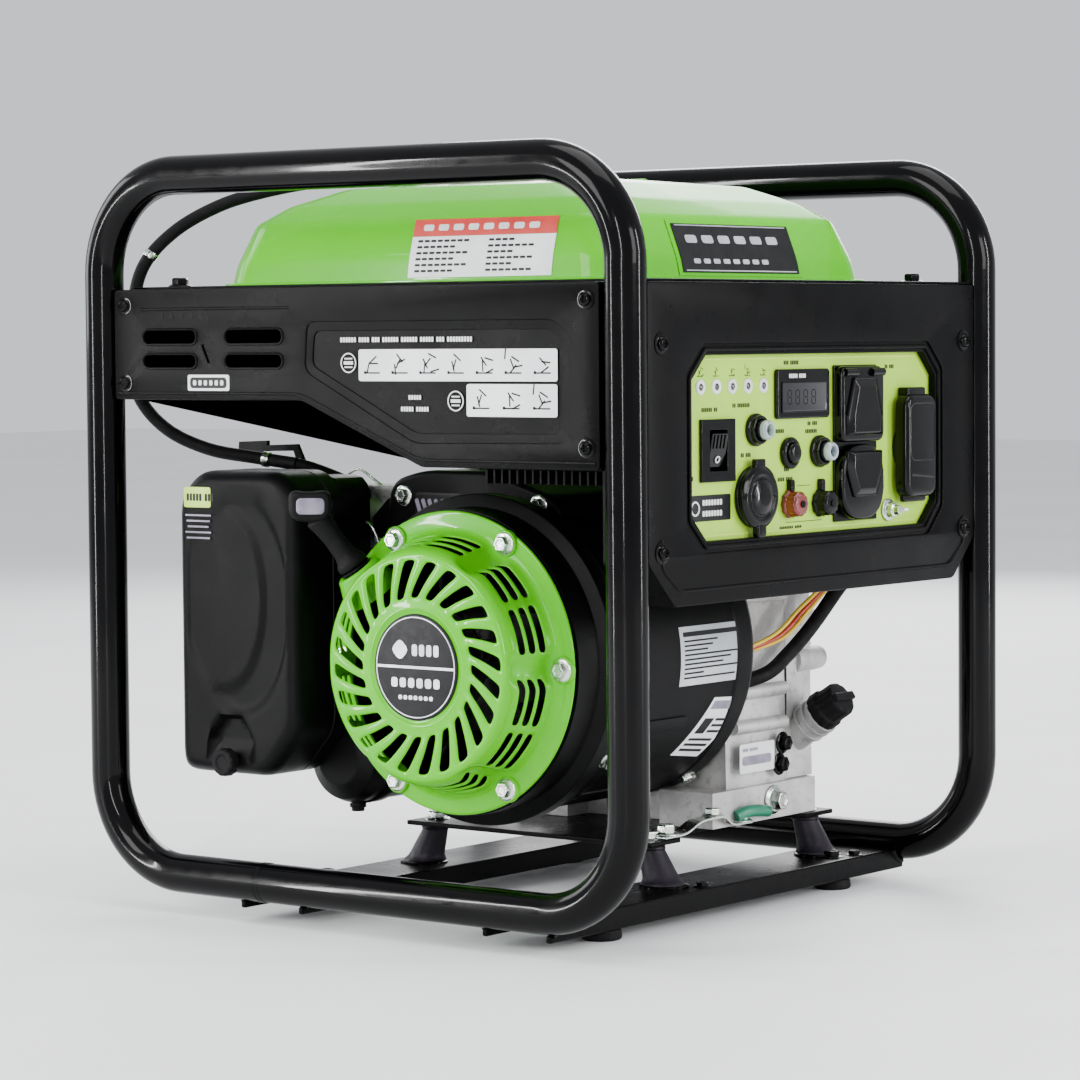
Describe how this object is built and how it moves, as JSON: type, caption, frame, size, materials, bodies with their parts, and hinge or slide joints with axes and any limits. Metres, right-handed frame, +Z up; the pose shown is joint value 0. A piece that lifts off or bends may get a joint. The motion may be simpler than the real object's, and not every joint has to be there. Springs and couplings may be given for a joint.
{
  "type": "inverter generator",
  "caption": "Open-frame portable inverter generator: tube hoops round a small petrol engine with recoil starter, fuel tank and hinged-cover outlet panel.",
  "frame": {"origin": "centre of the overall box at floor level, under the middle of the two hoops", "axes": "+Z up, +X towards the outlet panel's end, -Y towards the recoil starter's side"},
  "size_m": [0.4406, 0.4144, 0.4805],
  "materials": {
    "gloss_black": "gloss black powder coat on tube",
    "satin_black": "satin textured black coat on sheet",
    "black_plastic": "fine-grained moulded plastic",
    "outlet_black": "moulded electrical plastic",
    "rubber": "matt black rubber",
    "lime_paint": "gloss lime green enamel",
    "faceplate": "satin printed film on a plate",
    "cast_aluminium": "die-cast, lightly blasted",
    "steel": "machined",
    "hot_steel": "heat-dulled pressed steel",
    "zinc": "bright zinc plate",
    "copper": "enamelled copper windings",
    "foam": "oiled open-cell foam",
    "terminal_red": "red moulded plastic"
  },
  "bodies": {
    "frame": {"air_cleaner_base": "black_plastic", "air_cleaner_cover": "black_plastic", "air_filter_element": "foam", "alternator_housing": "satin_black", "base_rail_filter_end": "gloss_black", "base_rail_panel_end": "gloss_black", "carburettor": "cast_aluminium", "control_panel": "satin_black", "crankcase": "cast_aluminium", "crankcase_side_cover": "cast_aluminium", "cylinder_block": "cast_aluminium", "cylinder_head": "cast_aluminium", "dc_socket": "outlet_black", "display_meter": "outlet_black", "engine_cradle": "gloss_black", "engine_switch_body": "outlet_black", "evap_canister": "black_plastic", "evap_hose": "rubber", "foot_filter_end_far": "rubber", "foot_filter_end_near": "rubber", "foot_panel_end_far": "rubber", "foot_panel_end_near": "rubber", "inverter_module": "satin_black", "muffler": "hot_steel", "muffler_side_loop": "gloss_black", "muffler_side_panel": "satin_black", "negative_terminal": "outlet_black", "oil_drain_bolt": "zinc", "outlet_faceplate": "faceplate", "positive_terminal": "terminal_red", "receptacle_block": "outlet_black", "recoil_cover": "lime_paint", "recoil_side_loop": "gloss_black", "recoil_side_panel": "satin_black", "rubber_mount_filter_end_far": "rubber", "rubber_mount_filter_end_near": "rubber", "rubber_mount_panel_end_far": "rubber", "rubber_mount_panel_end_near": "rubber", "stator": "copper", "tank_lower_shell": "lime_paint", "tank_support": "satin_black", "tank_upper_shell": "lime_paint", "twist_lock_receptacle": "outlet_black"},
    "fuel_cap": {"fuel_cap": "rubber"},
    "oil_cap": {"oil_filler_cap": "rubber"},
    "starter_grip": {"starter_handle": "rubber"},
    "starter_pulley": {"recoil_pulley": "black_plastic"},
    "crank": {"crankshaft": "steel", "rotor_with_fan": "steel"},
    "switch_rocker": {"engine_switch_rocker": "outlet_black"},
    "dc_breaker": {"dc_breaker_button": "outlet_black"},
    "ac_breaker": {"ac_breaker_button": "outlet_black"},
    "reset": {"reset_button": "outlet_black"},
    "socket_cap": {"dc_socket_cap": "outlet_black"},
    "upper_cover": {"upper_receptacle_cover": "outlet_black"},
    "lower_cover": {"lower_receptacle_cover": "outlet_black"},
    "twist_cover": {"twist_lock_cover": "outlet_black"},
    "choke": {"choke_lever": "black_plastic"},
    "filter_knob": {"air_cleaner_knob": "rubber"},
    "ground_nut": {"ground_terminal": "zinc"}
  },
  "joints": [
    {"name": "fuel_cap_lift", "type": "slide", "parent": "frame", "child": "fuel_cap", "axis": [0, 0, 1], "range_m": [0, 0.05]},
    {"name": "oil_cap_turn", "type": "hinge", "parent": "frame", "child": "oil_cap", "pos_m": [0.1335, 0.121, 0.1155], "axis": [0.8396, 0, 0.5433], "range_deg": [0, 360]},
    {"name": "starter_pull", "type": "slide", "parent": "frame", "child": "starter_grip", "axis": [-0.2, -0.95, 0.24], "range_m": [0, 0.5], "stiffness_N_per_m": 16, "springref_m": -0.5},
    {"name": "starter_pulley_spin", "type": "hinge", "parent": "frame", "child": "starter_pulley", "pos_m": [0.043, -0.168, 0.165], "axis": [0, 1, 0], "range_deg": [0, 940]},
    {"name": "crank_spin", "type": "hinge", "parent": "frame", "child": "crank", "pos_m": [0.043, 0, 0.165], "axis": [0, 1, 0], "continuous": true},
    {"name": "engine_switch_rock", "type": "hinge", "parent": "frame", "child": "switch_rocker", "pos_m": [0.2045, -0.10335, 0.2962], "axis": [0, 1, 0], "range_deg": [-25, 0]},
    {"name": "dc_breaker_pop", "type": "slide", "parent": "frame", "child": "dc_breaker", "axis": [1, 0, 0], "range_m": [0, 0.003]},
    {"name": "ac_breaker_pop", "type": "slide", "parent": "frame", "child": "ac_breaker", "axis": [1, 0, 0], "range_m": [0, 0.003]},
    {"name": "reset_press", "type": "slide", "parent": "frame", "child": "reset", "axis": [-1, 0, 0], "range_m": [0, 0.003], "stiffness_N_per_m": 150, "springref_m": -0.002},
    {"name": "socket_cap_flip", "type": "hinge", "parent": "frame", "child": "socket_cap", "pos_m": [0.2119, -0.066, 0.2902], "axis": [0, 1, 0], "range_deg": [-110, 0], "stiffness_Nm_per_rad": 0.01, "springref_deg": 34.38},
    {"name": "upper_cover_flip", "type": "hinge", "parent": "frame", "child": "upper_cover", "pos_m": [0.2093, 0.0468, 0.3455], "axis": [0, 1, 0], "range_deg": [-90, 0], "stiffness_Nm_per_rad": 0.02, "springref_deg": 34.38},
    {"name": "lower_cover_flip", "type": "hinge", "parent": "frame", "child": "lower_cover", "pos_m": [0.2093, 0.0468, 0.248], "axis": [0, 1, 0], "range_deg": [0, 75], "stiffness_Nm_per_rad": 0.03, "springref_deg": -34.38},
    {"name": "twist_cover_flip", "type": "hinge", "parent": "frame", "child": "twist_cover", "pos_m": [0.2105, 0.1087, 0.3266], "axis": [0, 1, 0], "range_deg": [-100, 0], "stiffness_Nm_per_rad": 0.03, "springref_deg": 34.38},
    {"name": "choke_swing", "type": "hinge", "parent": "frame", "child": "choke", "pos_m": [-0.125, -0.0885, 0.262], "axis": [0, 1, 0], "range_deg": [0, 50]},
    {"name": "filter_knob_turn", "type": "hinge", "parent": "frame", "child": "filter_knob", "pos_m": [-0.118, -0.183, 0.0965], "axis": [0, 1, 0], "range_deg": [0, 360]},
    {"name": "ground_nut_turn", "type": "hinge", "parent": "frame", "child": "ground_nut", "pos_m": [0.213, 0.086, 0.253], "axis": [1, 0, 0], "range_deg": [0, 360]}
  ],
  "couplings": [
    {"joint": "starter_pulley_spin", "follows": "starter_pull", "rad_per_m": 32.258}
  ]
}
